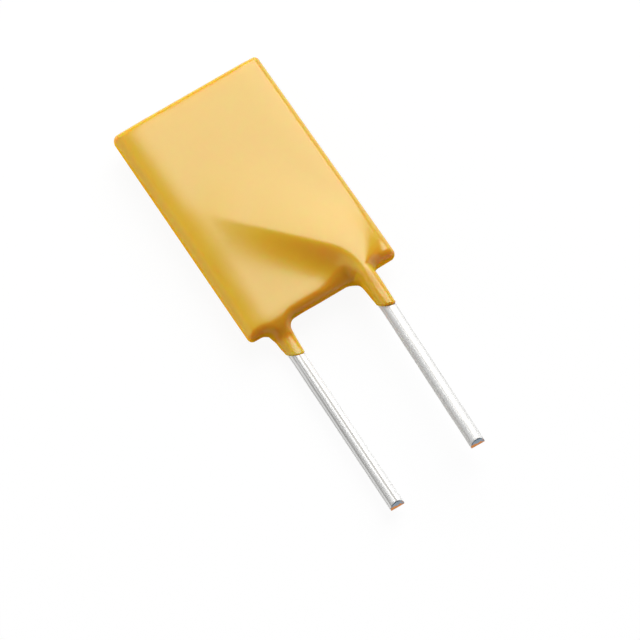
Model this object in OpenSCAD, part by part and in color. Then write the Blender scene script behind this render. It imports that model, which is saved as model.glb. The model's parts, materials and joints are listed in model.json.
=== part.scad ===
// Resettable fuse with two wire leads, lying on its back.
// A foil-faced polymer chip has a bent wire soldered slantwise across each face, and the whole
// is dipped in epoxy that humps over the wires and runs down onto both leads.
// X runs across the leads, the leads point along -Y, and the front face looks up along +Z.

/* [Coated body] */
// Width of the coated body, across the leads
body_w = 8.9; // [8:0.1:12]
// Height of the coated body, from its top edge to its bottom edge
body_h = 13.5; // [11:0.1:18]
// Radius of the body's corners, seen from the front
corner_r = 0.3; // [0.2:0.05:0.8]
// Thickness of the coated body at its rim
rim_t = 1.24; // [1:0.02:1.6]
// Radius of the rounding from each face over to the rim
rim_round = 0.42; // [0.3:0.02:0.6]
// Rise of each face inside its side edges
face_rise = 0.22; // [0.05:0.01:0.3]
// Distance from a side edge over which a face rises
side_run = 1.6; // [1:0.1:3]
// Distance from the top or bottom edge over which a face rises
end_run = 0.9; // [0.5:0.1:2]
// Swell of each face towards its middle
belly = 0.08; // [0:0.01:0.15]

/* [Chip] */
// Coating left around the edges of the chip
edge_cover = 0.45; // [0.3:0.05:0.8]
// Thickness of the conductive polymer sheet
core_t = 0.24; // [0.15:0.01:0.4]
// Thickness of the metal foil on each face of the sheet
foil_t = 0.05; // [0.03:0.01:0.1]

/* [Leads] */
// Distance between the two leads where they leave the coating
lead_pitch = 5.1; // [4.6:0.1:5.8]
// Sideways set of the pair of leads from the middle of the body
lead_shift = -0.14; // [-0.3:0.02:0.3]
// Diameter of the wire
wire_d = 0.81; // [0.5:0.01:0.9]
// Free length of the front lead, below its coating
front_free = 8.75; // [4:0.05:30]
// Free length of the rear lead, below its coating
rear_free = 9.6; // [4:0.05:30]
// Lean of the front lead's free end towards the rear lead, in degrees
front_lean = 1.9; // [0.6:0.1:4]
// Lean of the rear lead's free end away from the front lead, in degrees
rear_lean = 0.8; // [0.6:0.1:4]
// Distance below its coating at which a lead starts to lean
lean_drop = 0.1; // [0.05:0.05:0.5]
// Slant of the wire across the chip, from the line of its lead, in degrees
slant = 40.5; // [25:0.5:60]
// Height of the corner where the wire turns, above the body's bottom edge
corner_rise = 1.08; // [0.9:0.02:2.5]
// Radius of that corner
bend_r = 2.8; // [1.5:0.1:3]
// Length of the slanted wire from that corner
slant_run = 5.6; // [4:0.1:7]

/* [Solder] */
// Thickness of the solder under the wire
solder_film = 0.03; // [0.02:0.01:0.08]
// Reach of the solder to each side of the wire
solder_reach = 0.95; // [0.7:0.05:1.2]
// Height of the solder up the flanks of the wire
solder_rise = 0.5; // [0.3:0.05:0.6]
// Bare wire between its bend and the start of the solder
solder_start = 0.3; // [0.1:0.05:1]

/* [Coating over the wires] */
// Coating over the wire where it turns onto the chip
ridge_cover = 0.4; // [0.15:0.01:0.5]
// Coating over the far end of the wire
end_cover = 0.07; // [0.06:0.01:0.3]
// Width of the ridge's outer slope beside the lead
ridge_beside = 1.5; // [1:0.1:2]
// Width of the ridge's outer slope at the wire's corner
ridge_outer = 3; // [1.5:0.1:4]
// Width of the ridge's outer slope at the wire's far end
ridge_outer_end = 4.5; // [2:0.1:6]
// Width of the ridge's inner slope at the wire's corner
ridge_inner = 2.8; // [1.5:0.1:3]
// Width of the ridge's inner slope at the wire's far end
ridge_inner_end = 3.2; // [1.5:0.1:4]
// Distance past the wire's end over which the ridge fades out
ridge_fade = 3.4; // [1:0.1:5]
// Drop of the face inside the wire's corner, at the foot of the inner slope
inner_dip = 0.18; // [0:0.01:0.25]
// Length of the coating that runs down the front lead
front_rundown = 2.2; // [1.4:0.05:4]
// Length of the coating that runs down the rear lead
rear_rundown = 1.6; // [1.2:0.05:4]
// Half width of a run-down below its root
neck_w = 0.5; // [0.48:0.01:0.8]
// Radius of the hollow between a run-down and the bottom edge, on the run-down's left
root_left = 0.6; // [0.2:0.05:0.8]
// Radius of the hollow on its right
root_right = 0.42; // [0.2:0.02:0.8]
// Rounding from the face over to the hollow on the inner side of a lead
root_round = 1.2; // [0.5:0.05:1.6]
// Distance over which that rounding runs out into the rim's
root_spread = 1.5; // [0.5:0.1:2]
// Coating on the lead at the end of a run-down
end_film = 0.03; // [0.03:0.01:0.12]

/* [Hidden] */
$fn = 48;

// Each side of the chip is described as if it were the front, and the rear is turned about Y
FRONT = 1;
REAR = -1;

// Shape of the rounding at the rim, and the share of the thickness left upright there
RIM_POWER = 2;
RIM_SHARE = 0.12;
// Share of a face's rise that it loses towards its top and bottom edges
END_SHARE = 0.35;
// Bluntness of the ridge's crest, and how steeply its inner slope falls at the corner and the end
CREST = 0.06;
DRAPE = 3.4;
DRAPE_END = 2.6;
// Share of the edge beside a run-down that the hollow may take
ROOT_SHARE = 0.8;
// How fast a run-down gathers from the body's section to the lead's, and the drop where it starts
GATHER_POWER = 5;
GATHER_START = 0.25;

wire_r = wire_d / 2;
chip_w = body_w - 2 * edge_cover;
chip_h = body_h - 2 * edge_cover;
top_y = body_h / 2;
bottom_y = -body_h / 2;

// Levels of one side above the middle of the chip
foil_z = core_t / 2;
solder_z = foil_z + foil_t;
lead_z = solder_z + solder_film + wire_r;
crest_z = lead_z + wire_r + ridge_cover;

// The wire's corner, and the length that its bend takes from each straight
corner_y = bottom_y + corner_rise;
bend_setback = bend_r * tan(slant / 2);
slant_len = slant_run - bend_setback;

// Edge between a run-down and the body's rounded corner, beside the outer of the two leads
outer_lead = lead_pitch / 2 + abs(lead_shift);
root_room = body_w / 2 - corner_r - outer_lead - neck_w;
deep_hollow = max(hollow_r(1), hollow_r(-1));

// Middle of the whole part along Y, with both lead tips in reach
tip_y = min(lead_tip_y(FRONT), lead_tip_y(REAR));
mid_y = (top_y + tip_y) / 2;

// Steps in the coating's surface
RIM_STEPS = 4;
SIDE_STEPS = 6;
FACE_ROWS = 38;
MID_COLS = 12;
ROOT_COLS = 10;
HOLLOW_ROWS = 5;
NECK_ROWS = 5;

function clamp(t) = min(max(t, 0), 1);
function eased(t) = let (c = clamp(t)) c * c * (3 - 2 * c);
function mix(a, b, t) = a + (b - a) * t;

function lead_x(side) = lead_pitch / 2 + side * lead_shift;
function rundown(side) = side == FRONT ? front_rundown : rear_rundown;
function free_length(side) = side == FRONT ? front_free : rear_free;
// Turn of a lead's free end, seen along the lead: positive is away from the other lead
function lean_turn(side) = side == FRONT ? -front_lean : rear_lean;
function lean_y(side) = bottom_y - rundown(side) - lean_drop;
function lead_tip_y(side) =
    let (lean = abs(lean_turn(side)))
    lean_y(side) - free_length(side) * cos(lean) - wire_r * sin(lean);

// Distance inside the body's rounded rectangle
function rim_gap(x, y) =
    let (
        dx = abs(x) - (body_w / 2 - corner_r),
        dy = abs(y) - (body_h / 2 - corner_r)
    )
    corner_r - (dx > 0 && dy > 0 ? norm([dx, dy]) : max(dx, dy));

// Radius of the hollow beside a run-down, on its right where across is positive
function hollow_r(across) =
    min(across > 0 ? root_right : root_left, ROOT_SHARE * root_room);

// Half width of a run-down at its root, hollow included
function root_w(across) = neck_w + hollow_r(across);

// Half width of a run-down below the hollows at its root
function neck(drop, run) =
    mix(neck_w, wire_r + end_film, clamp((drop - deep_hollow) / (run - deep_hollow)));

// Half width of a run-down on one side, hollow included
function half_width(drop, across, run) =
    let (hollow = hollow_r(across), left = hollow - drop)
    left > 0
        ? root_w(across) - sqrt(pow(hollow, 2) - pow(left, 2))
        : neck(drop, run);

// Distance inside the outline at a run-down's root, this far inside the end of its hollow
function root_gap(rest, y, hollow) =
    let (curved = norm([rest, y - bottom_y + hollow]) - hollow)
    y < bottom_y ? curved : min(top_y - y, curved);

// Distance inside the coating's whole outline
function outline_gap(x, y) =
    let (
        side = x > 0 ? FRONT : REAR,
        across = x - side * lead_x(side),
        hollow = hollow_r(across),
        rest = root_w(across) - abs(across)
    )
    rest <= 0 ? rim_gap(x, y)
    : y <= bottom_y - hollow ? neck(bottom_y - y, rundown(side)) - abs(across)
    : min(body_w / 2 - abs(x), root_gap(rest, y, hollow));

// Share of its full height that the surface has this far inside the outline
function rounding(gap, radius) =
    let (t = 1 - clamp(gap / radius))
    mix(pow(1 - pow(t, RIM_POWER), 1 / RIM_POWER), 1, RIM_SHARE);

// Where a point lies beside one side's wire: [offset to the outer side, distance along the
// slanted run, share of the corner turned]
function beside_wire(u, y, side) =
    let (
        from_centre = [u - lead_x(side) + bend_r, y - corner_y + bend_setback],
        turned = atan2(from_centre.y, from_centre.x),
        outward = [cos(slant), sin(slant)],
        onward = [-sin(slant), cos(slant)]
    )
    from_centre.y <= 0 ? [from_centre.x - bend_r, 0, 0]
    : turned < slant ? [norm(from_centre) - bend_r, 0, turned / slant]
    : [from_centre * outward - bend_r, from_centre * onward, 1];

// How much of the ridge is left past the wire's end
function ridge_left(place) = 1 - eased((place[1] - slant_len) / ridge_fade);

// Share of the ridge's height on its outer slope, which is soft
function outer_share(place, gone) =
    let (
        slope_w = mix(ridge_beside, mix(ridge_outer, ridge_outer_end, gone), place[2]),
        across = clamp(place[0] / slope_w)
    )
    pow(1 - across * across, 2);

// Share of the ridge's height on its inner slope, which falls off steeply from the crest
function inner_share(place, gone) =
    let (
        slope_w = mix(min(ridge_inner, bend_r), ridge_inner_end, gone),
        across = clamp(-place[0] / slope_w),
        fall = (norm([across, CREST]) - CREST) / (norm([1, CREST]) - CREST)
    )
    pow(max(0, 1 - fall), mix(DRAPE, DRAPE_END, gone));

// Height of a plain face, before its rim is rounded
function face_height(u, y) =
    let (
        aside = 1 - clamp((body_w / 2 - abs(u)) / side_run),
        ahead = 1 - clamp((top_y - abs(y)) / end_run),
        rise = face_rise * (1 - pow(aside, 2)) * (1 - END_SHARE * pow(ahead, 2)),
        swell = belly * (1 - pow(2 * u / body_w, 2)) * (1 - pow(clamp(abs(y) / top_y), 2))
    )
    rim_t / 2 + rise + swell;

// Height of the coating over the chip and its wire, before its rim is rounded
function body_height(u, y, side) =
    let (
        place = beside_wire(u, y, side),
        gone = clamp(place[1] / slant_len),
        inner = place[0] < 0,
        share = inner ? inner_share(place, gone) : outer_share(place, gone),
        face = face_height(u, y),
        ridge = lead_z + wire_r + mix(ridge_cover, end_cover, gone),
        dip = inner ? inner_dip * (1 - share) : 0
    )
    face + (max(0, ridge - face) * share - dip) * ridge_left(place);

// How far a run-down has gathered round its lead
function gathered(drop, run) =
    (1 - pow(1 - clamp(drop / run), GATHER_POWER)) * eased(drop / GATHER_START);

// Height of one side's coating before its rim is rounded. A run-down at u > 0 is on this
// side's own lead, and one at u < 0 is on the other side's lead.
function side_height(u, y, side) =
    let (
        run = rundown(u > 0 ? side : -side),
        drop = bottom_y - y,
        left = 1 - clamp(drop / run),
        sleeve = wire_r + mix(end_film, ridge_cover, pow(left, 2)),
        level = u > 0 ? lead_z : -lead_z
    )
    mix(body_height(u, y, side), level + sleeve, gathered(drop, run));

// Level at which the front and rear surfaces meet, at the middle of the rim
function parting_z(x, y) =
    let (side = x > 0 ? FRONT : REAR)
    side * lead_z * gathered(bottom_y - y, rundown(side));

// How far in from the outline a surface turns over, more by the root of its own lead
function edge_round(x, y, side) =
    let (
        lead = x > 0 ? FRONT : REAR,
        plain = min(rim_round, neck(bottom_y - y, rundown(lead))),
        inside = lead_x(lead) - abs(x) - wire_r,
        near = eased(inside / neck_w) * (1 - eased((inside - neck_w) / root_spread)),
        above = 1 - eased((y - bottom_y) / root_spread)
    )
    lead == side ? mix(plain, root_round, near * above) : plain;

function surface_z(x, y, side) =
    let (
        parting = parting_z(x, y),
        full = side * side_height(side * x, y, side),
        share = rounding(outline_gap(x, y), edge_round(x, y, side))
    )
    mix(parting, full, share);

// Steps from a rim inwards, close together where the surface turns over
rim_steps = [for (i = [0 : RIM_STEPS]) rim_round * (1 - cos(90 * i / RIM_STEPS))];
face_step = (body_h - 2 * rim_round) / (FACE_ROWS + 1);
row_y = concat(
    [for (step = rim_steps) top_y - step],
    [for (i = [1 : FACE_ROWS]) top_y - rim_round - i * face_step],
    [for (i = [RIM_STEPS : -1 : 0]) bottom_y + rim_steps[i]]
);

// Columns of one row: out to each side edge, across each run-down's root, and between the roots
root_cols = [for (i = [0 : ROOT_COLS]) sin(mix(-90, 90, i / ROOT_COLS))];
function row_half_width(y) =
    let (over = clamp((abs(y) - body_h / 2) / corner_r + 1))
    body_w / 2 - corner_r * (1 - sqrt(1 - over * over));
function side_cols(y, root) =
    let (edge = row_half_width(y))
    [for (i = [0 : SIDE_STEPS - 1]) mix(edge, root, 1 - cos(90 * i / SIDE_STEPS))];
function root_span(side) = [for (c = root_cols) side * lead_x(side) + root_w(c) * c];
function reversed(list) = [for (i = [len(list) - 1 : -1 : 0]) list[i]];
function row_x(y) =
    let (
        left = root_span(REAR),
        right = root_span(FRONT)
    )
    concat(
        -side_cols(y, -left[0]),
        left,
        [for (i = [1 : MID_COLS - 1]) mix(left[ROOT_COLS], right[0], i / MID_COLS)],
        right,
        reversed(side_cols(y, right[ROOT_COLS]))
    );

// Drops below the bottom edge of a run-down's rows
function drops(run) = concat(
    [for (i = [1 : HOLLOW_ROWS]) deep_hollow * (1 - cos(90 * i / HOLLOW_ROWS))],
    [for (i = [1 : NECK_ROWS]) mix(deep_hollow, run, i / NECK_ROWS)]
);
function rundown_plan(side) = [
    for (drop = drops(rundown(side)))
        for (c = root_cols)
            [
                side * lead_x(side) + half_width(drop, c, rundown(side)) * c,
                bottom_y - drop
            ]
];

// Plan of the coating: the body's rows, then the rows of each run-down
body_plan = [for (y = row_y) for (x = row_x(y)) [x, y]];
plan = concat(body_plan, rundown_plan(FRONT), rundown_plan(REAR));

LAST_ROW = len(row_y) - 1;
LAST_DROP = HOLLOW_ROWS + NECK_ROWS;
LAST_COL = len(row_x(0)) - 1;
function root_col(side) = side == FRONT ? SIDE_STEPS + ROOT_COLS + MID_COLS : SIDE_STEPS;
function body_at(row, col) = row * (LAST_COL + 1) + col;
function rundown_at(side, row, col) =
    let (
        first = len(body_plan) + (side == FRONT ? 0 : LAST_DROP * (ROOT_COLS + 1))
    )
    row == 0
        ? body_at(LAST_ROW, root_col(side) + col)
        : first + (row - 1) * (ROOT_COLS + 1) + col;

// Four-sided cells of the plan, each from its upper left corner round to its lower left one
cells = concat(
    [
        for (row = [0 : LAST_ROW - 1])
            for (col = [0 : LAST_COL - 1])
                [
                    body_at(row, col),
                    body_at(row, col + 1),
                    body_at(row + 1, col + 1),
                    body_at(row + 1, col)
                ]
    ],
    [
        for (side = [FRONT, REAR])
            for (row = [0 : LAST_DROP - 1])
                for (col = [0 : ROOT_COLS - 1])
                    [
                        rundown_at(side, row, col),
                        rundown_at(side, row, col + 1),
                        rundown_at(side, row + 1, col + 1),
                        rundown_at(side, row + 1, col)
                    ]
    ]
);

// The plan's edge, round a run-down from its right root to its left root
function rundown_edge(side) = concat(
    [for (row = [0 : LAST_DROP - 1]) rundown_at(side, row, ROOT_COLS)],
    [for (col = [ROOT_COLS : -1 : 1]) rundown_at(side, LAST_DROP, col)],
    [for (row = [LAST_DROP : -1 : 1]) rundown_at(side, row, 0)]
);
function bottom_edge(from, to) = [for (col = [from : -1 : to]) body_at(LAST_ROW, col)];
edge = concat(
    [for (col = [0 : LAST_COL - 1]) body_at(0, col)],
    [for (row = [0 : LAST_ROW - 1]) body_at(row, LAST_COL)],
    bottom_edge(LAST_COL, root_col(FRONT) + ROOT_COLS + 1),
    rundown_edge(FRONT),
    bottom_edge(root_col(FRONT), root_col(REAR) + ROOT_COLS + 1),
    rundown_edge(REAR),
    bottom_edge(root_col(REAR), 1),
    [for (row = [LAST_ROW : -1 : 1]) body_at(row, 0)]
);

// Outer form of the coating, from its front surface, its rear surface and the rim between them
module coating_form() {
    below = len(plan);
    last = len(edge) - 1;
    polyhedron(
        points = concat(
            [for (p = plan) [p.x, p.y, surface_z(p.x, p.y, FRONT)]],
            [for (p = plan) [p.x, p.y, surface_z(p.x, p.y, REAR)]]
        ),
        faces = concat(
            [for (c = cells) each [[c[0], c[1], c[2]], [c[0], c[2], c[3]]]],
            [
                for (c = cells)
                    each [
                        [below + c[0], below + c[3], below + c[1]],
                        [below + c[1], below + c[3], below + c[2]]
                    ]
            ],
            [
                for (i = [0 : last])
                    let (a = edge[i], b = edge[i == last ? 0 : i + 1])
                        each [[a, below + a, below + b], [a, below + b, b]]
            ]
        )
    );
}

// Puts a piece of one side in its place on the chip
module on_side(side) {
    rotate([0, side == FRONT ? 0 : 180, 0])
        children();
}

// Places the fuse on its back, centred over the origin
module resting() {
    translate([0, -mid_y, crest_z])
        children();
}

// Straight wire along +Y, with what follows at its far end
module straight(length) {
    rotate([-90, 0, 0])
        cylinder(d = wire_d, h = length);
    translate([0, length, 0])
        children();
}

// Bend to the left of a wire that heads along +Y, with what follows
module bend(turn, radius) {
    translate([-radius, 0, 0]) {
        rotate_extrude(angle = turn)
            translate([radius, 0])
                circle(d = wire_d);
        rotate([0, 0, turn])
            translate([radius, 0, 0])
                children();
    }
}

// Straight wire whose near end is cut at an angle, to meet another that leans
module mitred(length, angle) {
    difference() {
        translate([0, -wire_d, 0])
            straight(length + wire_d);
        rotate([0, 0, angle])
            translate([0, -wire_d, 0])
                cube(2 * wire_d, center = true);
    }
    translate([0, length, 0])
        children();
}

module wire(side) {
    turn = lean_turn(side);
    on_side(side)
        translate([lead_x(side), lean_y(side), lead_z]) {
            mitred(corner_y - bend_setback - lean_y(side), turn / 2)
                bend(slant, bend_r)
                    straight(slant_len);
            rotate([0, 0, 180 + turn])
                mitred(free_length(side), -turn / 2);
        }
}

module sheet(thickness) {
    linear_extrude(thickness)
        square([chip_w, chip_h], center = true);
}

module core() {
    translate([0, 0, -foil_z])
        sheet(core_t);
}

module foil(side) {
    on_side(side)
        translate([0, 0, foil_z])
            sheet(foil_t);
}

// Right half of the solder's section: a hollow flank between the foil and the wire
module solder_flank() {
    difference() {
        square([solder_reach, solder_rise]);
        translate([solder_reach, solder_rise])
            circle(r = solder_rise - solder_film);
    }
}

// Bed of solder along the slanted wire, with a round toe past the wire's end
module solder_bed(side) {
    on_side(side)
        translate([lead_x(side), corner_y, solder_z])
            rotate([0, 0, slant])
                translate([0, slant_run, 0]) {
                    rotate([90, 0, 0])
                        linear_extrude(slant_len - solder_start) {
                            solder_flank();
                            mirror([1, 0])
                                solder_flank();
                        }
                    rotate_extrude(angle = 180)
                        solder_flank();
                }
}

module solder(side) {
    difference() {
        solder_bed(side);
        wire(side);
    }
}

module epoxy_coating() {
    color("goldenrod")
        resting()
            difference() {
                coating_form();
                core();
                for (side = [FRONT, REAR]) {
                    foil(side);
                    solder_bed(side);
                    wire(side);
                }
            }
}

module polymer_core() {
    color("dimgray")
        resting()
            core();
}

module front_electrode() {
    color("darkgray")
        resting()
            foil(FRONT);
}

module rear_electrode() {
    color("darkgray")
        resting()
            foil(REAR);
}

module front_solder() {
    color("lightgray")
        resting()
            solder(FRONT);
}

module rear_solder() {
    color("lightgray")
        resting()
            solder(REAR);
}

module front_lead() {
    color("silver")
        resting()
            wire(FRONT);
}

module rear_lead() {
    color("silver")
        resting()
            wire(REAR);
}

epoxy_coating();
polymer_core();
front_electrode();
rear_electrode();
front_solder();
rear_solder();
front_lead();
rear_lead();
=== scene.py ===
"""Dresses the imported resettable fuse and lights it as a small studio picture.

The frame is in metres. The sizes below are millimetres, from the middle of the coated body
unless they say otherwise, and angles are radians. Each finished mesh is scaled and moved into
the frame once.
"""
import json
import logging
import math
from dataclasses import dataclass
from enum import Enum
from functools import cached_property

import bmesh
import bpy
from bmesh.types import BMEdge, BMesh, BMVert
from mathutils import Matrix, Vector, noise


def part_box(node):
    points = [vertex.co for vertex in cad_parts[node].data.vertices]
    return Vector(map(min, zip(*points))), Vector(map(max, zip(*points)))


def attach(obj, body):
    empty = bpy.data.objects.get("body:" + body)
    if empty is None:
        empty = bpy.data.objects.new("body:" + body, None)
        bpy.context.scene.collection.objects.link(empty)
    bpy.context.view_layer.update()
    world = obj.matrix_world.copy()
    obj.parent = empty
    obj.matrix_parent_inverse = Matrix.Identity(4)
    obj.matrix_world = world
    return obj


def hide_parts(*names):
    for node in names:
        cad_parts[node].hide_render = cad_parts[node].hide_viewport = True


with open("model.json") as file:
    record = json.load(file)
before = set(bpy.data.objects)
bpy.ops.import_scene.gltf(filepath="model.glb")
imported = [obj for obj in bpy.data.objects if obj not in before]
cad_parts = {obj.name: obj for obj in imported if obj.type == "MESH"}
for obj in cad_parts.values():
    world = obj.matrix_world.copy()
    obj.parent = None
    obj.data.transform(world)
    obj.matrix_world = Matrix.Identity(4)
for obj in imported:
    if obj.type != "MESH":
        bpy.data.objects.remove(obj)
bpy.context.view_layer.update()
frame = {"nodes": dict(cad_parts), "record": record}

LOG = logging.getLogger("resettable_fuse")
MM = 0.001
WELD = 1e-5
NOISE_BAND = (0.3, 0.7)
FULL = (0.0, 1.0)

Colour = tuple[float, float, float]


class Side(Enum):
    """The two faces of the chip. Each is described as the front, and the rear is turned about Y."""

    FRONT = 1
    REAR = -1

    @property
    def turn(self) -> Matrix:
        """Turns a piece that is described as the front onto this face."""
        return Matrix.Rotation(0.0 if self is Side.FRONT else math.pi, 4, "Y")


# Colour of the fine lines on each lead: partly drawing marks, partly painted reflection; the rear
# lead's lines are darker as a painted reflection of the shadowed floor beside it.
WIRE_LINES_AND_REFLECTION = {Side.FRONT: (0.78, 0.77, 0.75), Side.REAR: (0.52, 0.51, 0.49)}


def clamp(share: float) -> float:
    """Keeps a share between 0 and 1."""
    return min(max(share, 0.0), 1.0)


def eased(share: float) -> float:
    """Smooth step from 0 to 1."""
    kept = clamp(share)
    return kept * kept * (3 - 2 * kept)


def mix(low: float, high: float, share: float) -> float:
    """Value at this share of the way from low to high."""
    return low + (high - low) * share


def verts_of(parts: list) -> list[BMVert]:
    """Picks the verts out of what a mesh operator made."""
    return [part for part in parts if isinstance(part, BMVert)]


def open_edges(parts: list) -> list[BMEdge]:
    """Picks the open edges out of what a mesh operator made."""
    return [part for part in parts if isinstance(part, BMEdge) and part.is_boundary]


def ring_verts(ring: list[BMEdge]) -> list[BMVert]:
    """Verts of a ring of edges, each once and in order."""
    return list(dict.fromkeys(vert for edge in ring for vert in edge.verts))


@dataclass(frozen=True)
class WireRun:
    """The way of one soldered wire, described as the front's."""

    side: Side
    lead_x: float
    level: float
    radius: float
    lean_y: float
    lean: float
    free: float
    corner_y: float
    slant: float = math.radians(40.5)
    bend_r: float = 2.8
    slant_run: float = 5.6

    @property
    def setback(self) -> float:
        """Length that the bend takes from each straight."""
        return self.bend_r * math.tan(self.slant / 2)

    @property
    def slant_len(self) -> float:
        """Straight length of the slanted wire."""
        return self.slant_run - self.setback

    def beside(self, u: float, y: float) -> tuple[float, float, float]:
        """Says where a point lies beside the wire.

        Args:
            u: Distance across, positive on the lead's own half.
            y: Distance along the lead.

        Returns:
            Offset to the outer side, distance along the slanted run and share of the corner turned.
        """
        from_x = u - self.lead_x + self.bend_r
        from_y = y - self.corner_y + self.setback
        turned = math.atan2(from_y, from_x)
        if from_y <= 0:
            return from_x - self.bend_r, 0.0, 0.0
        if turned < self.slant:
            return math.hypot(from_x, from_y) - self.bend_r, 0.0, turned / self.slant
        outward = from_x * math.cos(self.slant) + from_y * math.sin(self.slant)
        onward = from_y * math.cos(self.slant) - from_x * math.sin(self.slant)
        return outward - self.bend_r, onward, 1.0


@dataclass(frozen=True)
class Layout:
    """Driving sizes of the fuse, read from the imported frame."""

    centre: Vector
    width: float
    height: float
    crest: float
    wires: dict[Side, WireRun]

    @classmethod
    def from_frame(cls, corner_rise: float = 1.08) -> "Layout":
        """Reads the body, the chip and both pins from the frame.

        Args:
            corner_rise: Height of each wire's corner above the body's bottom edge.

        Returns:
            The layout, in millimetres.
        """
        low, high = (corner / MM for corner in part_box("epoxy_coating"))
        chip_low, chip_high = (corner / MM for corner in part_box("polymer_core"))
        width = high.x - low.x
        height = chip_high.y - chip_low.y + width - (chip_high.x - chip_low.x)
        centre = Vector((0.0, high.y - height / 2, (low.z + high.z) / 2))
        pins = {pin["name"]: pin for pin in frame["record"]["mounts"]}
        wires = {}
        for side in Side:
            pin = pins[f"{side.name.lower()}_lead_pin"]
            axis = Vector(pin["axis"])
            free = pin["dims"]["length_mm"]
            start = Vector(pin["pos_m"]) / MM - axis * free / 2 - centre
            wires[side] = WireRun(
                side=side,
                lead_x=side.value * start.x,
                level=side.value * start.z,
                radius=pin["dims"]["r_mm"],
                lean_y=start.y,
                lean=math.asin(side.value * axis.x),
                free=free,
                corner_y=corner_rise - height / 2,
            )
        return cls(centre, width, height, (high.z - low.z) / 2, wires)

    def place(self, bm: BMesh) -> None:
        """Moves a mesh from body millimetres into the frame's metres."""
        bmesh.ops.translate(bm, verts=bm.verts, vec=self.centre)
        bmesh.ops.scale(bm, verts=bm.verts, vec=(MM, MM, MM))


def finished(bm: BMesh, name: str, materials: list[bpy.types.Material]) -> bpy.types.Object:
    """Turns a finished bmesh into a smooth object that rides on the fuse.

    Args:
        bm: Mesh in the frame's metres. It is freed.
        name: Name of the piece.
        materials: Materials in the order of the faces' material indices.

    Returns:
        The linked object.
    """
    bmesh.ops.recalc_face_normals(bm, faces=bm.faces)
    for face in bm.faces:
        face.smooth = True
    mesh = bpy.data.meshes.new(name)
    bm.to_mesh(mesh)
    bm.free()
    for material in materials:
        mesh.materials.append(material)
    piece = bpy.data.objects.new(name, mesh)
    bpy.context.scene.collection.objects.link(piece)
    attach(piece, "root")
    LOG.info("%s: %d faces", name, len(mesh.polygons))
    return piece


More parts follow.
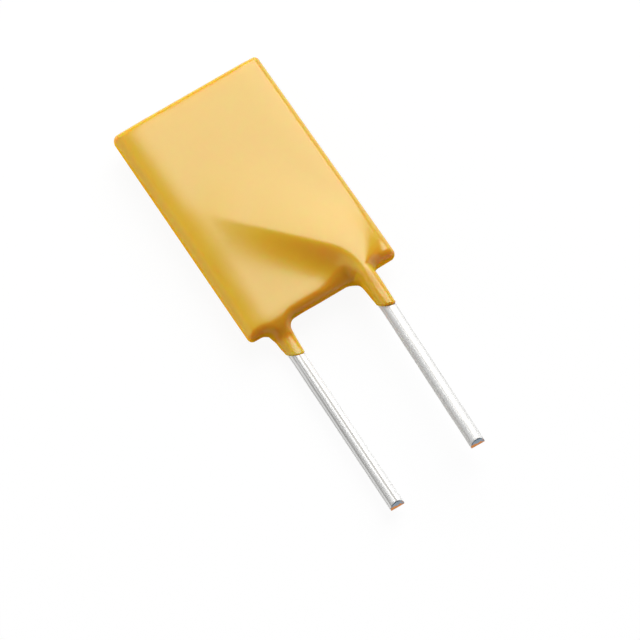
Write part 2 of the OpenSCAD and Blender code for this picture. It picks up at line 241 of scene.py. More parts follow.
class Surface:
    """A procedural material, with short calls for the nodes that the finishes share."""

    def __init__(self, name: str) -> None:
        """Starts a material that has one Principled shader."""
        self.material = bpy.data.materials.new(name)
        self.material.use_nodes = True
        self._tree = self.material.node_tree
        self.shader = self._tree.nodes["Principled BSDF"]

    def set(self, **values: float | Colour) -> None:
        """Sets constant values on the shader's own sockets.

        Args:
            values: Socket names with underscores for spaces, and their values.
        """
        for name, value in values.items():
            socket = self.shader.inputs[name.replace("_", " ")]
            socket.default_value = (*value, 1.0) if isinstance(value, tuple) else value

    def add(self, kind: str, **values: object) -> bpy.types.Node:
        """Adds a node.

        Args:
            kind: The node's type, without its ShaderNode prefix.
            values: Input names with underscores for spaces, and their values or sockets.

        Returns:
            The node.
        """
        node = self._tree.nodes.new("ShaderNode" + kind)
        for name, value in values.items():
            self.feed(node.inputs[name.replace("_", " ")], value)
        return node

    def feed(self, target: bpy.types.NodeSocket, value: object) -> None:
        """Links a socket to an input, or sets the input's value.

        Args:
            target: The input.
            value: A socket of another node, or a plain value.
        """
        if isinstance(value, bpy.types.NodeSocket):
            self._tree.links.new(value, target)
        else:
            target.default_value = value

    def drive(self, name: str, source: bpy.types.NodeSocket) -> None:
        """Links a varying value to one of the shader's sockets."""
        self.feed(self.shader.inputs[name], source)

    def place(
        self, grain: tuple[float, float, float], turn: float = 0.0, middle: Vector | None = None
    ) -> bpy.types.NodeSocket:
        """Gives Object coordinates in units of a pattern's grain.

        Args:
            grain: Size of the pattern along X, Y and Z, in millimetres.
            turn: Turn of the pattern about Z, in radians.
            middle: Point of the frame, in metres, that the pattern is centred on.

        Returns:
            The vector socket.
        """
        coords = self.add("TexCoord").outputs["Object"]
        if middle is not None:
            coords = self.add("Mapping", Vector=coords, Location=-middle).outputs[0]
        if turn:
            coords = self.add("Mapping", Vector=coords, Rotation=(0.0, 0.0, turn)).outputs[0]
        scale = tuple(1 / (size * MM) for size in grain)
        return self.add("Mapping", Vector=coords, Scale=scale).outputs[0]

    def noise(self, place: bpy.types.NodeSocket, detail: float = 2.0) -> bpy.types.NodeSocket:
        """Adds a noise pattern, about 0 to 1, at a place from place()."""
        node = self.add("TexNoise", Vector=place, Scale=1.0, Detail=detail, Roughness=0.5)
        return node.outputs["Fac"]

    def spread(
        self, value: bpy.types.NodeSocket, source: tuple[float, float], target: tuple[float, float]
    ) -> bpy.types.NodeSocket:
        """Maps a value from one range to another, and stops at both ends.

        Args:
            value: The varying value.
            source: Ends of its range.
            target: Ends of the range that it is mapped to.

        Returns:
            The mapped value's socket.
        """
        node = self.add(
            "MapRange",
            Value=value,
            From_Min=source[0],
            From_Max=source[1],
            To_Min=target[0],
            To_Max=target[1],
        )
        return node.outputs[0]

    def blend(
        self, share: bpy.types.NodeSocket, low: Colour, high: Colour
    ) -> bpy.types.NodeSocket:
        """Mixes two colours by a varying share."""
        return self.ramp(share, FULL, (low, high))

    def ramp(
        self, share: bpy.types.NodeSocket, stops: tuple[float, ...], colours: tuple[Colour, ...]
    ) -> bpy.types.NodeSocket:
        """Gives a colour from a row of stops.

        Args:
            share: The varying place along the row.
            stops: Places of the stops, from 0 to 1.
            colours: Colour at each stop.

        Returns:
            The colour's socket.
        """
        node = self.add("ValToRGB", Fac=share)
        elements = node.color_ramp.elements
        while len(elements) < len(stops):
            elements.new(1.0)
        for element, stop, colour in zip(elements, stops, colours):
            element.position = stop
            element.color = (*colour, 1.0)
        return node.outputs["Color"]

    def math(
        self, kind: str, first: bpy.types.NodeSocket, second: bpy.types.NodeSocket | None = None
    ) -> bpy.types.NodeSocket:
        """Adds a sum, a product or the like of one or two varying values.

        Args:
            kind: The node's operation.
            first: First value.
            second: Second value, where the operation takes one.

        Returns:
            The result's socket.
        """
        node = self.add("Math")
        node.operation = kind
        self.feed(node.inputs[0], first)
        if second is not None:
            self.feed(node.inputs[1], second)
        return node.outputs[0]

    def bump(self, height: bpy.types.NodeSocket, depth: float) -> None:
        """Raises a fine relief, its depth in millimetres."""
        node = self.add("Bump", Height=height, Strength=1.0, Distance=depth * MM)
        self.drive("Normal", node.outputs["Normal"])


@dataclass(frozen=True)
class EpoxyFinish:
    """Golden-yellow dipped epoxy: a satin skin with a faint orange peel.

    It is painted a deeper orange on upright walls and on slopes that face the leads: painted shade,
    for the sides turned from the light.
    """

    light: Colour = (0.67, 0.42, 0.014)
    # Painted shade: the deeper orange laid on upright walls and on slopes facing the leads.
    deep: Colour = (0.7, 0.32, 0.008)
    # The next two ranges of the normal's Z and Y fade the painted shade into the lit colour.
    shade_tilt: tuple[float, float] = (0.0, 0.5)
    shade_facing: tuple[float, float] = (-0.35, -0.08)
    roughness: float = 0.27
    mottle: float = 3.0
    stray: float = 0.08
    peel: float = 0.35
    peel_depth: float = 0.004
    bleed: float = 0.9
    rim_lean: tuple[float, float] = (0.22, 0.72)
    rim_shine: tuple[float, float] = (0.0, 0.5)
    ior: float = 1.62
    scatter: float = 0.8
    scatter_reach: Colour = (1.0, 0.3, 0.07)
    cloud_detail: float = 3.0

    def material(self) -> bpy.types.Material:
        """Builds the material, which shines less where it stands upright round the rim.

        Returns:
            The material.
        """
        surface = Surface("golden_epoxy")
        facing = surface.add("SeparateXYZ", Vector=surface.add("TexCoord").outputs["Normal"])
        level = surface.math("ABSOLUTE", facing.outputs["Z"])
        surface.drive("Specular IOR Level", surface.spread(level, self.rim_lean, self.rim_shine))
        cloud = surface.noise(surface.place((self.mottle,) * 3), self.cloud_detail)
        # Painted shade: 1 on faces that look up and away from the leads, 0 on upright walls and on
        # slopes facing the leads.
        lit_share = surface.math(
            "MINIMUM",
            surface.spread(level, self.shade_tilt, FULL),
            surface.spread(facing.outputs["Y"], self.shade_facing, FULL),
        )
        stray = surface.spread(cloud, NOISE_BAND, (-self.stray, self.stray))
        share = surface.math("ADD", lit_share, stray)
        surface.drive("Base Color", surface.blend(share, self.deep, self.light))
        surface.bump(surface.noise(surface.place((self.peel,) * 3)), self.peel_depth)
        surface.set(
            Roughness=self.roughness,
            IOR=self.ior,
            Subsurface_Weight=self.scatter,
            Subsurface_Scale=self.bleed * MM,
        )
        surface.shader.inputs["Subsurface Radius"].default_value = self.scatter_reach
        return surface.material


@dataclass(frozen=True)
class TinFinish:
    """Bright tin on drawn wire, with fine dark lines along it that are partly drawing marks and
    partly painted reflection.
    """

    lean: float
    # Colour of the dark lines, partly a painted reflection of darker surroundings.
    line: Colour
    bright: Colour = (0.93, 0.93, 0.92)
    line_band: tuple[float, float] = (0.5, 0.6)
    gloss: tuple[float, float] = (0.6, 0.7)
    grain: tuple[float, float, float] = (0.12, 30.0, 0.12)
    detail: float = 1.0

    def material(self) -> bpy.types.Material:
        """Builds the material.

        Returns:
            The material.
        """
        surface = Surface("drawn_tin")
        grain = surface.noise(surface.place(self.grain, turn=-self.lean), self.detail)
        # Dark lines along the wire: partly drawing marks, partly painted reflection.
        lines = surface.spread(grain, self.line_band, FULL)
        surface.drive("Base Color", surface.blend(lines, self.bright, self.line))
        surface.drive("Roughness", surface.spread(grain, NOISE_BAND, self.gloss))
        surface.set(Metallic=1.0)
        return surface.material


@dataclass(frozen=True)
class CutFinish:
    """The pinched end of a lead: copper along the break, and tin dragged over it from the rims, its
    blue-grey partly a painted sheen.
    """

    tip: Vector
    radius: float
    copper: Colour = (0.7, 0.27, 0.07)
    # Blue-grey of the smeared tin: partly its own grey, partly a painted sheen.
    tin: Colour = (0.3, 0.37, 0.44)
    rim: Colour = (0.07, 0.07, 0.075)
    bands: tuple[float, float, float, float] = (0.22, 0.34, 0.78, 0.9)
    grain: float = 0.25
    stray: float = 0.5
    gloss: tuple[float, float] = (0.3, 0.5)
    relief: float = 0.02
    metallic: float = 0.8

    def material(self) -> bpy.types.Material:
        """Builds the material.

        Returns:
            The material.
        """
        surface = Surface("pinched_copper")
        place = surface.place((self.radius,) * 3, middle=self.tip)
        height = surface.add("SeparateXYZ", Vector=place).outputs["Z"]
        up = surface.math("ABSOLUTE", height)
        drag = surface.noise(surface.place((self.grain,) * 3, middle=self.tip))
        stray = surface.spread(drag, NOISE_BAND, (-self.stray / 2, self.stray / 2))
        across = surface.math("ADD", up, stray)
        colours = (self.copper, self.tin, self.tin, self.rim)
        surface.drive("Base Color", surface.ramp(across, self.bands, colours))
        surface.drive("Roughness", surface.spread(drag, NOISE_BAND, self.gloss))
        surface.bump(drag, self.relief)
        surface.set(Metallic=self.metallic)
        return surface.material


@dataclass(frozen=True)
class PlainFinish:
    """A finish of the pieces sealed in the epoxy: one clouded colour with a fine grain."""

    name: str
    light: Colour
    dark: Colour
    metallic: float
    gloss: tuple[float, float]
    grain: tuple[float, float, float]
    detail: float = 4.0
    relief: float = 0.004

    def material(self) -> bpy.types.Material:
        """Builds the material.

        Returns:
            The material.
        """
        surface = Surface(self.name)
        cloud = surface.noise(surface.place(self.grain), self.detail)
        surface.drive("Base Color", surface.blend(cloud, self.dark, self.light))
        surface.drive("Roughness", surface.spread(cloud, NOISE_BAND, self.gloss))
        surface.bump(cloud, self.relief)
        surface.set(Metallic=self.metallic)
        return surface.material


@dataclass(frozen=True)
class EpoxyCoat:
    """The dipped skin over the chip, its ridges and its run-downs on both leads."""

    layout: Layout
    # Body, its rim and its gently domed face.
    corner_r: float = 0.3
    rim_t: float = 1.24
    rim_round: float = 0.42
    rim_power: float = 2.0
    rim_share: float = 0.12
    face_rise: float = 0.22
    side_run: float = 1.6
    end_run: float = 0.9
    end_share: float = 0.35
    belly: float = 0.08
    # Ridge over the soldered wire, with the dip on its inner side.
    inner_dip: float = 0.18
    dip_fade: float = 0.8
    end_cover: float = 0.07
    ridge_outer: float = 3.0
    ridge_outer_end: float = 4.5
    ridge_beside: float = 0.9
    ridge_inner: float = 2.8
    ridge_inner_end: float = 3.2
    ridge_fade: float = 3.4
    crest_r: float = 0.06
    bend_crest: float = 0.2
    flank_power: float = 0.65
    drape: float = 4.2
    drape_end: float = 3.0
    # Run-downs on the leads, from their hollowed roots to their lips.
    lean_drop: float = 0.1
    neck_w: float = 0.5
    root_left: float = 0.6
    root_right: float = 0.42
    root_round: float = 1.2
    root_spread: float = 1.5
    root_share: float = 0.8
    end_film: float = 0.03
    far_cover: float = 0.2
    far_power: float = 3.0
    far_start: float = 1.0
    far_above: float = 0.3
    lip_film: float = 0.12
    crown: float = 0.85
    crown_run: float = 0.6
    gather_power: float = 5.0
    gather_start: float = 0.25
    lip_reach: float = 0.65
    lip_zone: float = 0.9
    lip_turn: float = math.radians(65)
    lip_rest: float = 0.65
    lip_rolls: tuple[tuple[float, float], ...] = ((0.86, 0.035), (0.7, 0.03))
    # Rows and columns of the mesh.
    rim_steps: int = 12
    side_steps: int = 16
    face_rows: int = 100
    mid_cols: int = 30
    root_cols: int = 28
    hollow_rows: int = 10
    neck_rows: int = 18

    @property
    def half_w(self) -> float:
        """Half of the body's width."""
        return self.layout.width / 2

    @property
    def top(self) -> float:
        """Level of the top edge along Y."""
        return self.layout.height / 2

    @property
    def bottom(self) -> float:
        """Level of the bottom edge along Y."""
        return -self.layout.height / 2

    def hollow_r(self, across: float) -> float:
        """Radius of the hollow on one side of a run-down, clear of the body's corner.

        Args:
            across: Which side, by its sign.

        Returns:
            The radius.
        """
        outer = max(wire.lead_x for wire in self.layout.wires.values())
        room = self.half_w - self.corner_r - outer - self.neck_w
        return min(self.root_right if across > 0 else self.root_left, self.root_share * room)

    def root_w(self, across: float) -> float:
        """Half width of a run-down at its root on one side, hollow included."""
        return self.neck_w + self.hollow_r(across)

    def wire_at(self, x: float) -> WireRun:
        """The wire whose lead is on this half of the body."""
        return self.layout.wires[Side.FRONT if x > 0 else Side.REAR]

    def run(self, wire: WireRun) -> float:
        """Length of the coating that runs down a lead."""
        return self.bottom - wire.lean_y - self.lean_drop

    def rim_gap(self, x: float, y: float) -> float:
        """Distance inside the body's rounded rectangle.

        Args:
            x: Distance across.
            y: Distance along the leads.

        Returns:
            The distance, negative outside it.
        """
        dx = abs(x) - (self.half_w - self.corner_r)
        dy = abs(y) - (self.top - self.corner_r)
        return self.corner_r - (math.hypot(dx, dy) if dx > 0 and dy > 0 else max(dx, dy))

    def neck(self, drop: float, wire: WireRun) -> float:
        """Half width of a run-down below the hollows at its root.

        Args:
            drop: Distance below the body's bottom edge.
            wire: Wire of the run-down.

        Returns:
            The half width.
        """
        root = self.hollow_r(-1)
        share = clamp((drop - root) / (self.run(wire) - root))
        return mix(self.neck_w, wire.radius + self.end_film, share)

    def half_width(self, drop: float, across: float, wire: WireRun) -> float:
        """Half width of a run-down on one side, hollow included.

        Args:
            drop: Distance below the body's bottom edge.
            across: Which side, by its sign.
            wire: Wire of the run-down.

        Returns:
            The half width.
        """
        hollow = self.hollow_r(across)
        if drop >= hollow:
            return self.neck(drop, wire)
        return self.root_w(across) - math.sqrt(max(hollow**2 - (hollow - drop) ** 2, 0.0))

    def outline_gap(self, x: float, y: float) -> float:
        """Distance inside the coating's whole outline.

        Args:
            x: Distance across.
            y: Distance along the leads.

        Returns:
            The distance to the nearest edge.
        """
        wire = self.wire_at(x)
        across = x - wire.side.value * wire.lead_x
        hollow = self.hollow_r(across)
        rest = self.root_w(across) - abs(across)
        if rest <= 0:
            return self.rim_gap(x, y)
        if y <= self.bottom - hollow:
            return self.neck(self.bottom - y, wire) - abs(across)
        root = math.hypot(rest, y - self.bottom + hollow) - hollow
        if y < self.bottom:
            return root
        return min(self.half_w - abs(x), self.top - y, root)

    def rounding(self, gap: float, radius: float) -> float:
        """Share of its full height that the surface has this far inside the outline."""
        inner = 1 - clamp(gap / radius)
        return mix((1 - inner**self.rim_power) ** (1 / self.rim_power), 1.0, self.rim_share)

    def edge_round(self, x: float, y: float, side: Side) -> float:
        """How far in from the outline a surface turns over, more by the root of its own lead.

        Args:
            x: Distance across.
            y: Distance along the leads.
            side: Which surface.

        Returns:
            The distance.
        """
        wire = self.wire_at(x)
        plain = min(self.rim_round, self.neck(self.bottom - y, wire))
        if wire.side is not side:
            return plain
        inside = wire.lead_x - abs(x) - wire.radius
        near = eased(inside / self.neck_w) * (1 - eased((inside - self.neck_w) / self.root_spread))
        above = 1 - eased((y - self.bottom) / self.root_spread)
        firm = mix(1.0, self.crown, eased((self.bottom - y) / self.crown_run))
        return mix(plain * firm, self.root_round, near * above)

    def ridge_cover(self, wire: WireRun) -> float:
        """Coating over the wire where it turns onto the chip."""
        return self.layout.crest - wire.level - wire.radius

    def ridge_left(self, place: tuple[float, float, float], wire: WireRun) -> float:
        """How much of the ridge is left this far past the wire's end."""
        return 1 - eased((place[1] - wire.slant_len) / self.ridge_fade)

    def ridge_share(self, place: tuple[float, float, float], wire: WireRun) -> float:
        """How much of the ridge's height is left at a place beside the wire.

        Args:
            place: What the wire's beside() says of the place.
            wire: The wire under the ridge.

        Returns:
            The share, from 0 to 1.
        """
        offset, along, turned = place
        gone = clamp(along / wire.slant_len)
        if offset > 0:
            outer = mix(self.ridge_outer, self.ridge_outer_end, gone)
            across = clamp(offset / mix(self.ridge_beside, outer, turned**self.flank_power))
            return (1 - across * across) ** 2
        inner = mix(min(self.ridge_inner, wire.bend_r), self.ridge_inner_end, gone)
        across = clamp(-offset / inner)
        crest = mix(self.bend_crest, self.crest_r, math.sqrt(gone))
        blunt = math.hypot(1.0, crest) - crest
        left = 1 - (math.hypot(across, crest) - crest) / blunt
        return left ** mix(self.drape, self.drape_end, gone)

    def body_height(self, u: float, y: float, wire: WireRun) -> float:
        """Height of the coating over the chip, before its rim is rounded.

        Args:
            u: Distance across, positive on the lead's own half.
            y: Distance along the leads.
            wire: The wire under this surface's ridge.

        Returns:
            The height above the middle of the chip.
        """
        place = wire.beside(u, y)
        aside = 1 - clamp((self.half_w - abs(u)) / self.side_run)
        ahead = 1 - clamp((self.top - abs(y)) / self.end_run)
        rise = self.face_rise * (1 - aside * aside) * (1 - self.end_share * ahead * ahead)
        belly = self.belly * (1 - (u / self.half_w) ** 2) * (1 - clamp(abs(y) / self.top) ** 2)
        face = self.rim_t / 2 + rise + belly
        gone = clamp(place[1] / wire.slant_len)
        ridge = wire.level + wire.radius + mix(self.ridge_cover(wire), self.end_cover, gone)
        share = self.ridge_share(place, wire)
        risen = clamp((y - wire.corner_y) / (wire.slant_run * math.cos(wire.slant)))
        deep = self.inner_dip * (1 - self.dip_fade * risen)
        dip = deep * (1 - share) if place[0] < 0 else 0.0
        return face + (max(0.0, ridge - face) * share - dip) * self.ridge_left(place, wire)

    def gathered(self, drop: float, wire: WireRun, power: float, start: float) -> float:
        """How far a run-down has gathered round its lead."""
        left = 1 - clamp(drop / self.run(wire))
        return (1 - left**power) * eased(drop / start)

    def come_down(
        self, body: float, drop: float, across: float, lead: WireRun, side: Side
    ) -> float:
        """Brings one surface down from the body to a run-down, thicker on the lead's own side.

        The far side starts a little above the bottom edge, and flows into the run-down.

        Args:
            body: Height of the body's surface.
            drop: Distance below the body's bottom edge.
            across: Distance from the lead's middle line.
            lead: Wire of the run-down.
            side: Which surface.

        Returns:
            The height of the surface.
        """
        if lead.side is side:
            left = 1 - clamp(drop / self.run(lead))
            cover = mix(self.lip_film, self.ridge_cover(lead), left)
            gather = self.gathered(drop, lead, self.gather_power, self.gather_start)
            return mix(body, lead.level + lead.radius + cover, gather)
        near = 1 - eased((across - lead.radius) / self.root_round)
        early = drop + self.far_above * near
        cover = mix(self.far_cover, self.end_film, clamp(early / self.run(lead)))
        gather = self.gathered(early, lead, self.far_power, self.far_start)
        return mix(body, lead.radius + cover - lead.level, gather)

    def surface_z(self, x: float, y: float, side: Side) -> float:
        """Level of the front or rear surface of the coating.

        Args:
            x: Distance across.
            y: Distance along the leads.
            side: Which surface.

        Returns:
            The level above the middle of the chip.
        """
        lead = self.wire_at(x)
        drop = self.bottom - y
        gather = self.gathered(drop, lead, self.gather_power, self.gather_start)
        parting = lead.side.value * lead.level * gather
        body = self.body_height(side.value * x, y, self.layout.wires[side])
        across = abs(x - lead.side.value * lead.lead_x)
        height = self.come_down(body, drop, across, lead, side)
        share = self.rounding(self.outline_gap(x, y), self.edge_round(x, y, side))
        return mix(parting, side.value * height, share)

    @cached_property
    def rows(self) -> list[float]:
        """Rows of the body's plan, close together where the surface turns over.

        Returns:
            Levels along the leads, from the top edge to the bottom edge.
        """
        quarter = [
            self.rim_round * (1 - math.cos(math.pi / 2 * i / self.rim_steps))
            for i in range(self.rim_steps + 1)
        ]
        step = (self.layout.height - 2 * self.rim_round) / (self.face_rows + 1)
        face = [self.top - self.rim_round - step * i for i in range(1, self.face_rows + 1)]
        return [
            *(self.top - gap for gap in quarter),
            *face,
            *(self.bottom + gap for gap in reversed(quarter)),
        ]

    @cached_property
    def root_places(self) -> list[float]:
        """Columns across a run-down's root, from -1 to 1."""
        return [
            math.sin(math.pi * (i / self.root_cols - 0.5)) for i in range(self.root_cols + 1)
        ]

    def root_span(self, wire: WireRun) -> list[float]:
        """Columns across a run-down's root, from left to right."""
        lead = wire.side.value * wire.lead_x
        return [lead + self.root_w(share) * share for share in self.root_places]

    def side_places(self, y: float, root: float) -> list[float]:
        """Columns from one side edge of a row in to the run-down's root, as distances across.

        Args:
            y: Level of the row.
            root: Distance across of the root's outer end.

        Returns:
            The distances, from the edge inwards.
        """
        over = clamp((abs(y) - self.top) / self.corner_r + 1)
        edge = self.half_w - self.corner_r * (1 - math.sqrt(1 - over * over))
        return [
            edge - (edge - root) * (1 - math.cos(math.pi / 2 * i / self.side_steps))
            for i in range(self.side_steps)
        ]

    def row_places(self, y: float) -> list[float]:
        """Columns of one row of the body's plan, from left to right.

        Args:
            y: Level of the row.

        Returns:
            Distances across.
        """
        left = self.root_span(self.layout.wires[Side.REAR])
        right = self.root_span(self.layout.wires[Side.FRONT])
        inner = [mix(left[-1], right[0], i / self.mid_cols) for i in range(1, self.mid_cols)]
        return [
            *(-x for x in self.side_places(y, -left[0])),
            *left,
            *inner,
            *right,
            *reversed(self.side_places(y, right[-1])),
        ]

    def drops(self, wire: WireRun) -> list[float]:
        """Rows of a run-down below the bottom edge.

        Args:
            wire: Wire of the run-down.

        Returns:
            Distances below the bottom edge.
        """
        root = self.hollow_r(-1)
        hollow = [
            root * (1 - math.cos(math.pi / 2 * i / self.hollow_rows))
            for i in range(self.hollow_rows + 1)
        ]
        neck = [
            mix(root, self.run(wire), i / self.neck_rows) for i in range(1, self.neck_rows + 1)
        ]
        return hollow + neck

    def _lay_plan(self, bm: BMesh) -> None:
        """Lays out the flat plan: a grid for the body and one for each run-down, welded.

        Args:
            bm: Mesh to fill.
        """
        columns = len(self.row_places(0.0)) - 1
        last = len(self.rows) - 1
        places = [self.row_places(y) for y in self.rows]
        body = bmesh.ops.create_grid(bm, x_segments=columns, y_segments=last, size=1.0)
        for vert in body["verts"]:
            row = round((1 - vert.co.y) / 2 * last)
            column = round((1 + vert.co.x) / 2 * columns)
            vert.co = (places[row][column], self.rows[row], 0.0)
        for side, wire in self.layout.wires.items():
            drops = self.drops(wire)
            last = len(drops) - 1
            tongue = bmesh.ops.create_grid(
                bm, x_segments=self.root_cols, y_segments=last, size=1.0
            )
            for vert in tongue["verts"]:
                drop = drops[round((1 - vert.co.y) / 2 * last)]
                share = math.sin(math.pi / 2 * vert.co.x)
                across = self.half_width(drop, share, wire) * share
                vert.co = (side.value * wire.lead_x + across, self.bottom - drop, 0.0)
        bmesh.ops.remove_doubles(bm, verts=bm.verts, dist=WELD)

    def _at_end(self, edge: BMEdge) -> bool:
        """Says whether an edge lies on the last row of a run-down.

        Args:
            edge: An edge of the flat plan.

        Returns:
            Whether both its ends lie there.
        """
        wire = self.wire_at(edge.verts[0].co.x)
        end = self.bottom - self.run(wire) + WELD
        return all(vert.co.y < end for vert in edge.verts)

    def _raise(self, verts: list[BMVert], side: Side) -> None:
        """Lifts flat verts onto one surface of the coating."""
        for vert in verts:
            vert.co.z = self.surface_z(vert.co.x, vert.co.y, side)

    def _draw_lips(self, bm: BMesh) -> None:
        """Draws the end of each run-down further along the top of its lead than beside it.

        Args:
            bm: Mesh of the coating.
        """
        for vert in bm.verts:
            wire = self.wire_at(vert.co.x)
            side = wire.side.value
            end = self.bottom - self.run(wire)
            share = eased((end + self.lip_zone - vert.co.y) / self.lip_zone)
            turn = math.atan2(vert.co.z - side * wire.level, vert.co.x - side * wire.lead_x)
            swing = (1 + math.cos(turn - self.lip_turn)) / 2 - self.lip_rest
            vert.co.y -= share * self.lip_reach * swing

    def _close_ends(self, bm: BMesh) -> None:
        """Rolls the open end of each run-down over onto its lead and closes it inside the wire.

        Args:
            bm: Mesh of the coating.
        """
        for side, wire in self.layout.wires.items():
            axis = Vector((side.value * wire.lead_x, 0.0, side.value * wire.level))
            ring = [
                edge
                for edge in bm.edges
                if edge.is_boundary and edge.verts[0].co.x * side.value > 0
            ]
            for radius, step in self.lip_rolls:
                made = bmesh.ops.extrude_edge_only(bm, edges=ring)["geom"]
                for vert in verts_of(made):
                    out = Vector((vert.co.x, 0.0, vert.co.z)) - axis
                    vert.co = axis + out * radius + Vector((0.0, vert.co.y - step, 0.0))
                ring = open_edges(made)
            bmesh.ops.edgeloop_fill(bm, edges=ring)

    def build(self) -> bpy.types.Object:
        """Models the coating and puts it in place of its solid.

        Returns:
            The piece.
        """
        bm = bmesh.new()
        self._lay_plan(bm)
        front = list(bm.verts)
        outline = [edge for edge in bm.edges if edge.is_boundary and not self._at_end(edge)]
        copy = bmesh.ops.duplicate(bm, geom=[*bm.verts, *bm.edges, *bm.faces])["geom"]
        rear = verts_of(copy)
        wall = bmesh.ops.extrude_edge_only(bm, edges=outline)["geom"]
        rear += verts_of(wall)
        self._raise(front, Side.FRONT)
        self._raise(rear, Side.REAR)
        bmesh.ops.remove_doubles(bm, verts=rear, dist=WELD)
        self._draw_lips(bm)
        self._close_ends(bm)
        self.layout.place(bm)
        return finished(bm, "dipped_epoxy", [EpoxyFinish().material()])

    def dress(self, piece: bpy.types.Object) -> None:
        """Hides the solid that the piece stands in for."""
        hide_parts("epoxy_coating")


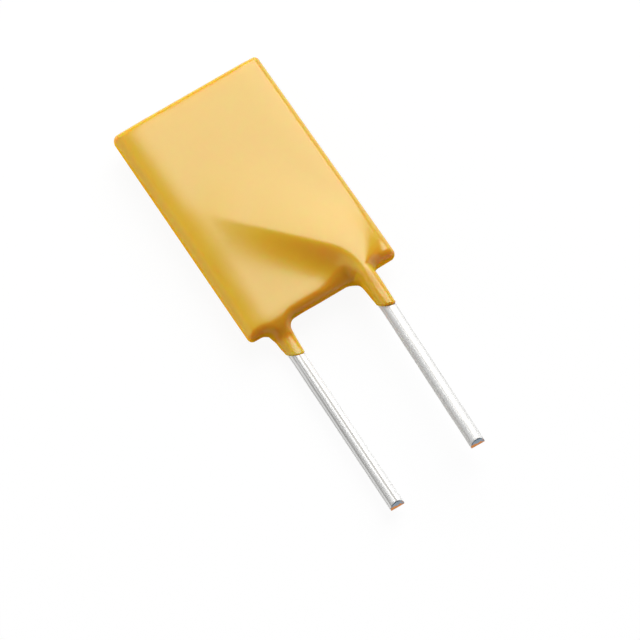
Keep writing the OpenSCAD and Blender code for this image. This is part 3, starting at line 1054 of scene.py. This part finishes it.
@dataclass(frozen=True)
class TinnedLead:
    """One tinned wire: its free end, its bend and its slanted run on the chip."""

    layout: Layout
    wire: WireRun
    # Colour of the wire's dark lines, partly a painted reflection.
    line: Colour
    segments: int = 64
    step: float = 0.1
    bend_steps: int = 14
    edge_r: float = 0.05
    ripple: float = 0.01
    ripple_grain: tuple[float, float] = (0.5, 1.2)
    ripple_seed: float = 7.0
    ripple_lift: float = 0.5
    pinch: float = 0.17
    pinch_zone: float = 0.5
    cap_steps: int = 3
    cap_rings: tuple[float, ...] = (0.75, 0.5, 0.25, 0.02)

    @property
    def name(self) -> str:
        """Name of the CAD node that this piece stands for."""
        return f"{self.wire.side.name.lower()}_lead"

    @property
    def tip(self) -> Vector:
        """Middle of the cut end, in the frame's metres.

        Returns:
            The point.
        """
        wire = self.wire
        along = Vector((math.sin(wire.lean), -math.cos(wire.lean), 0.0)) * wire.free
        local = Vector((wire.lead_x, wire.lean_y, wire.level)) + along
        return (wire.side.turn @ local + self.layout.centre) * MM

    def _advance(self, bm: BMesh, ring: list[BMEdge], way: Vector, length: float) -> list[BMEdge]:
        """Extrudes a ring along a straight in short steps.

        Args:
            bm: Mesh of the wire.
            ring: Edges of the ring to go on from.
            way: Unit vector of the straight.
            length: Length of the straight.

        Returns:
            Edges of the last ring.
        """
        steps = max(1, round(length / self.step))
        for _ in range(steps):
            made = bmesh.ops.extrude_edge_only(bm, edges=ring)["geom"]
            bmesh.ops.translate(bm, verts=verts_of(made), vec=way * (length / steps))
            ring = open_edges(made)
        return ring

    def _cap(self, bm: BMesh, ring: list[BMEdge], middle: Vector, way: Vector) -> None:
        """Closes a ring with a rounded edge and a face in rings.

        Args:
            bm: Mesh of the wire.
            ring: Edges of the open ring.
            middle: Middle of the ring.
            way: Unit vector out of the end.
        """
        first = len(bm.faces)
        radius = self.wire.radius
        inner = 1 - self.edge_r / radius
        turns = [math.pi / 2 * (i + 1) / self.cap_steps for i in range(self.cap_steps)]
        bevel = [
            (1 - (1 - inner) * (1 - math.cos(turn)), self.edge_r * math.sin(turn)) for turn in turns
        ]
        flats = [(inner * share, self.edge_r) for share in self.cap_rings]
        for share, height in bevel + flats:
            made = bmesh.ops.extrude_edge_only(bm, edges=ring)["geom"]
            for vert in verts_of(made):
                out = vert.co - middle
                out = (out - way * out.dot(way)).normalized()
                vert.co = middle + out * radius * share + way * height
            ring = open_edges(made)
        bmesh.ops.edgeloop_fill(bm, edges=ring)
        bm.faces.ensure_lookup_table()
        for face in bm.faces[first + self.segments:]:
            face.material_index = 1

    def _pinch(self, bm: BMesh, tip: Vector, way: Vector) -> None:
        """Draws the cut end to a blunt wedge, as side cutters leave it.

        Args:
            bm: Mesh of the wire.
            tip: Middle of the cut end.
            way: Unit vector out of the end.
        """
        for vert in bm.verts:
            left = 1 - max(0.0, (tip - vert.co).dot(way)) / self.pinch_zone
            if left > 0:
                height = abs(vert.co.z - self.wire.level) / self.wire.radius
                vert.co -= way * (self.pinch * height * left)

    def _ripple(self, bm: BMesh) -> None:
        """Gives the drawn wire its faint long flats and lumps.

        Args:
            bm: Mesh of the wire.
        """
        across, along = self.ripple_grain
        seed = Vector((0.0, 0.0, self.ripple_seed * self.wire.side.value))
        for vert in bm.verts:
            if vert.co.y > self.wire.lean_y:
                continue
            place = Vector((vert.co.x / across, vert.co.y / along, vert.co.z / across)) + seed
            lead = Vector((self._lead_x_at(vert.co.y), vert.co.y, self.wire.level))
            out = vert.co - lead
            depth = self.ripple * clamp(noise.noise(place) + self.ripple_lift)
            vert.co -= out.normalized() * depth

    def _lead_x_at(self, y: float) -> float:
        """Where the middle of the free end is across, at this level."""
        return self.wire.lead_x + (self.wire.lean_y - y) * math.tan(self.wire.lean)

    def build(self) -> bpy.types.Object:
        """Models the wire from its cut end up, and puts it in place of its solid.

        Returns:
            The piece.
        """
        wire = self.wire
        bm = bmesh.new()
        joint = Vector((wire.lead_x, wire.lean_y, wire.level))
        down = Vector((math.sin(wire.lean), -math.cos(wire.lean), 0.0))
        up = Vector((0.0, 1.0, 0.0))
        tip = joint + down * (wire.free - self.edge_r)
        upright = Matrix.Translation(tip) @ Matrix.Rotation(wire.lean, 4, "Z")
        circle = bmesh.ops.create_circle(
            bm,
            segments=self.segments,
            radius=wire.radius,
            matrix=upright @ Matrix.Rotation(-math.pi / 2, 4, "X"),
        )
        cut = list(dict.fromkeys(edge for vert in circle["verts"] for edge in vert.link_edges))
        ring = self._advance(bm, cut, -down, wire.free - self.edge_r)
        half_lean = Matrix.Rotation(-wire.lean / 2, 3, "Z")
        bmesh.ops.rotate(bm, verts=ring_verts(ring), cent=joint, matrix=half_lean)
        straight = wire.corner_y - wire.setback - wire.lean_y
        ring = self._advance(bm, ring, up, straight)
        turn = joint + up * straight
        bmesh.ops.rotate(bm, verts=ring_verts(ring), cent=turn, matrix=half_lean)
        bend = bmesh.ops.spin(
            bm,
            geom=ring,
            cent=turn - Vector((wire.bend_r, 0.0, 0.0)),
            axis=(0.0, 0.0, 1.0),
            angle=wire.slant,
            steps=self.bend_steps,
        )
        ring = [part for part in bend["geom_last"] if isinstance(part, BMEdge)]
        onward = Vector((-math.sin(wire.slant), math.cos(wire.slant), 0.0))
        ring = self._advance(bm, ring, onward, wire.slant_len - self.edge_r)
        ends = ring_verts(ring)
        middle = sum((vert.co for vert in ends), Vector()) / len(ends)
        self._cap(bm, ring, middle, onward)
        self._cap(bm, cut, tip, down)
        self._pinch(bm, tip, down)
        self._ripple(bm)
        bmesh.ops.transform(bm, verts=bm.verts, matrix=wire.side.turn)
        self.layout.place(bm)
        tin = TinFinish(wire.lean * wire.side.value, self.line).material()
        cut_end = CutFinish(self.tip, wire.radius).material()
        return finished(bm, f"tinned_{self.name}", [tin, cut_end])

    def dress(self, piece: bpy.types.Object) -> None:
        """Hides the solid that the piece stands in for."""
        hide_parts(self.name)


@dataclass(frozen=True)
class SealedChip:
    """The pieces inside the epoxy, which keep their solids and get their own finishes."""

    polymer: PlainFinish = PlainFinish(
        "carbon_polymer", (0.035, 0.035, 0.037), (0.018, 0.018, 0.02), 0.0, (0.55, 0.75), (0.4,) * 3
    )
    foil: PlainFinish = PlainFinish(
        "rolled_foil", (0.66, 0.63, 0.58), (0.5, 0.48, 0.44), 1.0, (0.3, 0.5), (0.08, 2.0, 0.08)
    )
    solder: PlainFinish = PlainFinish(
        "reflowed_solder", (0.68, 0.69, 0.7), (0.5, 0.51, 0.53), 1.0, (0.2, 0.4), (0.5,) * 3
    )

    def dress(self) -> None:
        """Gives each sealed node its finish."""
        finishes = {
            self.polymer: ("polymer_core",),
            self.foil: ("front_electrode", "rear_electrode"),
            self.solder: ("front_solder", "rear_solder"),
        }
        for finish, names in finishes.items():
            material = finish.material()
            for name in names:
                mesh = frame["nodes"][name].data
                mesh.materials.clear()
                mesh.materials.append(material)
                LOG.info("%s: dressed in %s", name, finish.name)


@dataclass(frozen=True)
class Softbox:
    """One rectangular soft light, aimed at the middle of the frame."""

    name: str
    way: Vector
    distance: float
    size: tuple[float, float]
    power: float
    mirrored: bool = True

    def hang(self) -> None:
        """Adds the light to the scene."""
        lamp = bpy.data.lights.new(self.name, "AREA")
        lamp.shape = "RECTANGLE"
        lamp.size, lamp.size_y = self.size
        lamp.energy = self.power
        box = bpy.data.objects.new(self.name, lamp)
        way = self.way.normalized()
        box.location = way * self.distance
        box.rotation_mode = "QUATERNION"
        box.rotation_quaternion = way.to_track_quat("Z", "Y")
        box.visible_glossy = self.mirrored
        bpy.context.scene.collection.objects.link(box)


@dataclass(frozen=True)
class Studio:
    """White floor, soft light from the right, and a camera at the photograph's angle."""

    centre: Vector
    aim: tuple[float, float] = (-0.779, -7.605)
    azimuth: float = math.radians(-32.63)
    elevation: float = math.radians(67.65)
    distance: float = 192.2
    lens: float = 212.0
    clip: float = 0.01
    floor_size: float = 2.0
    floor_white: Colour = (0.95, 0.95, 0.95)
    floor_glow: float = 0.93
    sky: float = 0.1
    key: Softbox = Softbox("key", Vector((0.5, 0.42, 0.76)), 0.35, (0.3, 0.4), 1.62)
    fill: Softbox = Softbox("fill", Vector((-0.78, 0.5, 0.4)), 0.4, (0.8, 0.6), 0.85)
    side: Softbox = Softbox(
        "side", Vector((-0.75, 0.65, 0.15)), 0.4, (0.4, 0.1), 0.55, mirrored=False
    )
    top: Softbox = Softbox("top", Vector((0.0, 0.0, 1.0)), 0.6, (1.0, 1.0), 0.5, mirrored=False)

    def _seen(self, tree: bpy.types.NodeTree) -> bpy.types.NodeSocket:
        """Adds nodes that are 1 for camera, glossy and transmitted rays, and 0 for the others.

        Args:
            tree: Node tree of the material.

        Returns:
            Socket of the result.
        """
        path = tree.nodes.new("ShaderNodeLightPath")
        share = path.outputs["Is Camera Ray"]
        for name in ("Is Glossy Ray", "Is Transmission Ray"):
            either = tree.nodes.new("ShaderNodeMath")
            either.operation = "MAXIMUM"
            tree.links.new(share, either.inputs[0])
            tree.links.new(path.outputs[name], either.inputs[1])
            share = either.outputs[0]
        return share

    def _floor(self) -> None:
        """Lays the white floor, which glows a little where it is seen and keeps the shadow."""
        bm = bmesh.new()
        bmesh.ops.create_grid(bm, x_segments=1, y_segments=1, size=self.floor_size)
        mesh = bpy.data.meshes.new("floor")
        bm.to_mesh(mesh)
        bm.free()
        material = bpy.data.materials.new("white_floor")
        material.use_nodes = True
        tree = material.node_tree
        tree.nodes.clear()
        matt = tree.nodes.new("ShaderNodeBsdfDiffuse")
        matt.inputs["Color"].default_value = (*self.floor_white, 1.0)
        glow = tree.nodes.new("ShaderNodeEmission")
        share = tree.nodes.new("ShaderNodeMath")
        share.operation = "MULTIPLY"
        share.inputs[1].default_value = self.floor_glow
        both = tree.nodes.new("ShaderNodeMixShader")
        out = tree.nodes.new("ShaderNodeOutputMaterial")
        tree.links.new(self._seen(tree), share.inputs[0])
        tree.links.new(share.outputs[0], both.inputs["Fac"])
        tree.links.new(matt.outputs[0], both.inputs[1])
        tree.links.new(glow.outputs[0], both.inputs[2])
        tree.links.new(both.outputs[0], out.inputs["Surface"])
        mesh.materials.append(material)
        floor = bpy.data.objects.new("floor", mesh)
        bpy.context.scene.collection.objects.link(floor)

    def _sky(self) -> None:
        """Lights the scene evenly."""
        world = bpy.data.worlds.new("studio")
        world.use_nodes = True
        tree = world.node_tree
        background = tree.nodes["Background"]
        background.inputs["Color"].default_value = (1.0, 1.0, 1.0, 1.0)
        background.inputs["Strength"].default_value = self.sky
        bpy.context.scene.world = world

    def _camera(self) -> None:
        """Sets the camera at the photograph's angle and framing."""
        flat = math.cos(self.elevation)
        back = Vector(
            (
                math.sin(self.azimuth) * flat,
                -math.cos(self.azimuth) * flat,
                math.sin(self.elevation),
            )
        )
        data = bpy.data.cameras.new("camera")
        data.lens = self.lens
        data.clip_start = self.clip
        camera = bpy.data.objects.new("camera", data)
        target = self.centre + Vector((self.aim[0], self.aim[1], 0.0))
        camera.location = (target + back * self.distance) * MM
        camera.rotation_mode = "QUATERNION"
        camera.rotation_quaternion = (-back).to_track_quat("-Z", "Y")
        bpy.context.scene.collection.objects.link(camera)
        bpy.context.scene.camera = camera

    def build(self) -> None:
        """Sets up the whole studio."""
        bpy.context.scene.view_settings.view_transform = "Standard"
        self._camera()
        self._floor()
        self._sky()
        for box in (self.key, self.fill, self.side, self.top):
            box.hang()


def main() -> None:
    """Builds the studio and every piece of the fuse, in order."""
    logging.basicConfig(level=logging.INFO, format="%(name)s: %(message)s")
    layout = Layout.from_frame()
    Studio(layout.centre).build()
    coat = EpoxyCoat(layout)
    coat.dress(coat.build())
    for wire in layout.wires.values():
        lead = TinnedLead(layout, wire, WIRE_LINES_AND_REFLECTION[wire.side])
        lead.dress(lead.build())
    SealedChip().dress()


if __name__ == "__main__":
    main()
